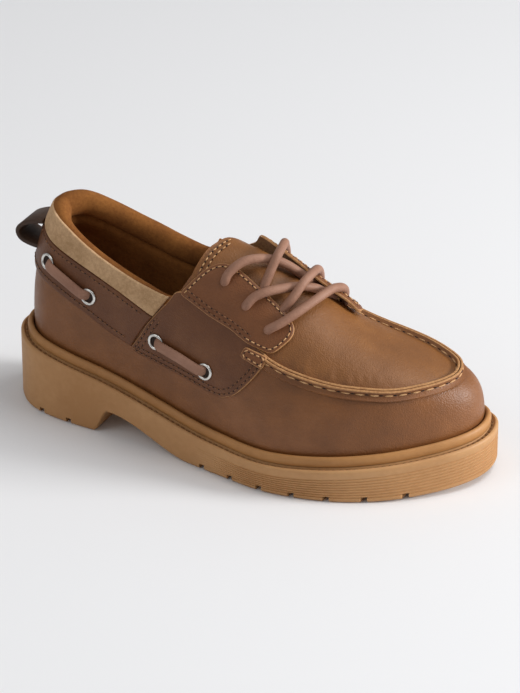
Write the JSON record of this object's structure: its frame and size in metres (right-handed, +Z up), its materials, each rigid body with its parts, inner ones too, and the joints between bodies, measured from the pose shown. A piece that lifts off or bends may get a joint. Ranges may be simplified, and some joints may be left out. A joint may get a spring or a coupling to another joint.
{
  "type": "boat shoe",
  "caption": "Right boat shoe with a chunky lugged rubber sole, moccasin toe seam, hollow leather upper, side laces through eyelets and crossed front laces.",
  "frame": {"origin": "on the ground plane, at the centre of the box round the shoe", "axes": "+X to the toe, +Y to the wearer's left (the medial side), +Z up"},
  "size_m": [0.242, 0.0932, 0.107],
  "materials": {
    "leather": "waxed brown leather",
    "dark_leather": "waxed dark brown leather",
    "lace_leather": "matt round leather cord",
    "band_nubuck": "tan nubuck",
    "lining": "brushed caramel lining",
    "gum_rubber": "satin gum rubber",
    "nickel": "bright nickel"
  },
  "bodies": {
    "root": {"collar_band": "band_nubuck", "collar_roll": "lining", "eyelet_lateral_1": "nickel", "eyelet_lateral_2": "nickel", "eyelet_lateral_3": "nickel", "eyelet_lateral_4": "nickel", "eyelet_medial_1": "nickel", "eyelet_medial_2": "nickel", "eyelet_medial_3": "nickel", "eyelet_medial_4": "nickel", "eyestay_lateral": "leather", "eyestay_medial": "leather", "front_lace": "lace_leather", "insole": "lining", "pull_loop": "dark_leather", "rear_strip": "dark_leather", "saddle_lateral": "dark_leather", "saddle_medial": "dark_leather", "side_lace_front_lateral": "lace_leather", "side_lace_front_medial": "lace_leather", "side_lace_rear_lateral": "lace_leather", "side_lace_rear_medial": "lace_leather", "sole": "gum_rubber", "tab_lateral": "leather", "tab_medial": "leather", "tongue": "leather", "upper": "leather", "welt": "gum_rubber"}
  },
  "joints": []
}
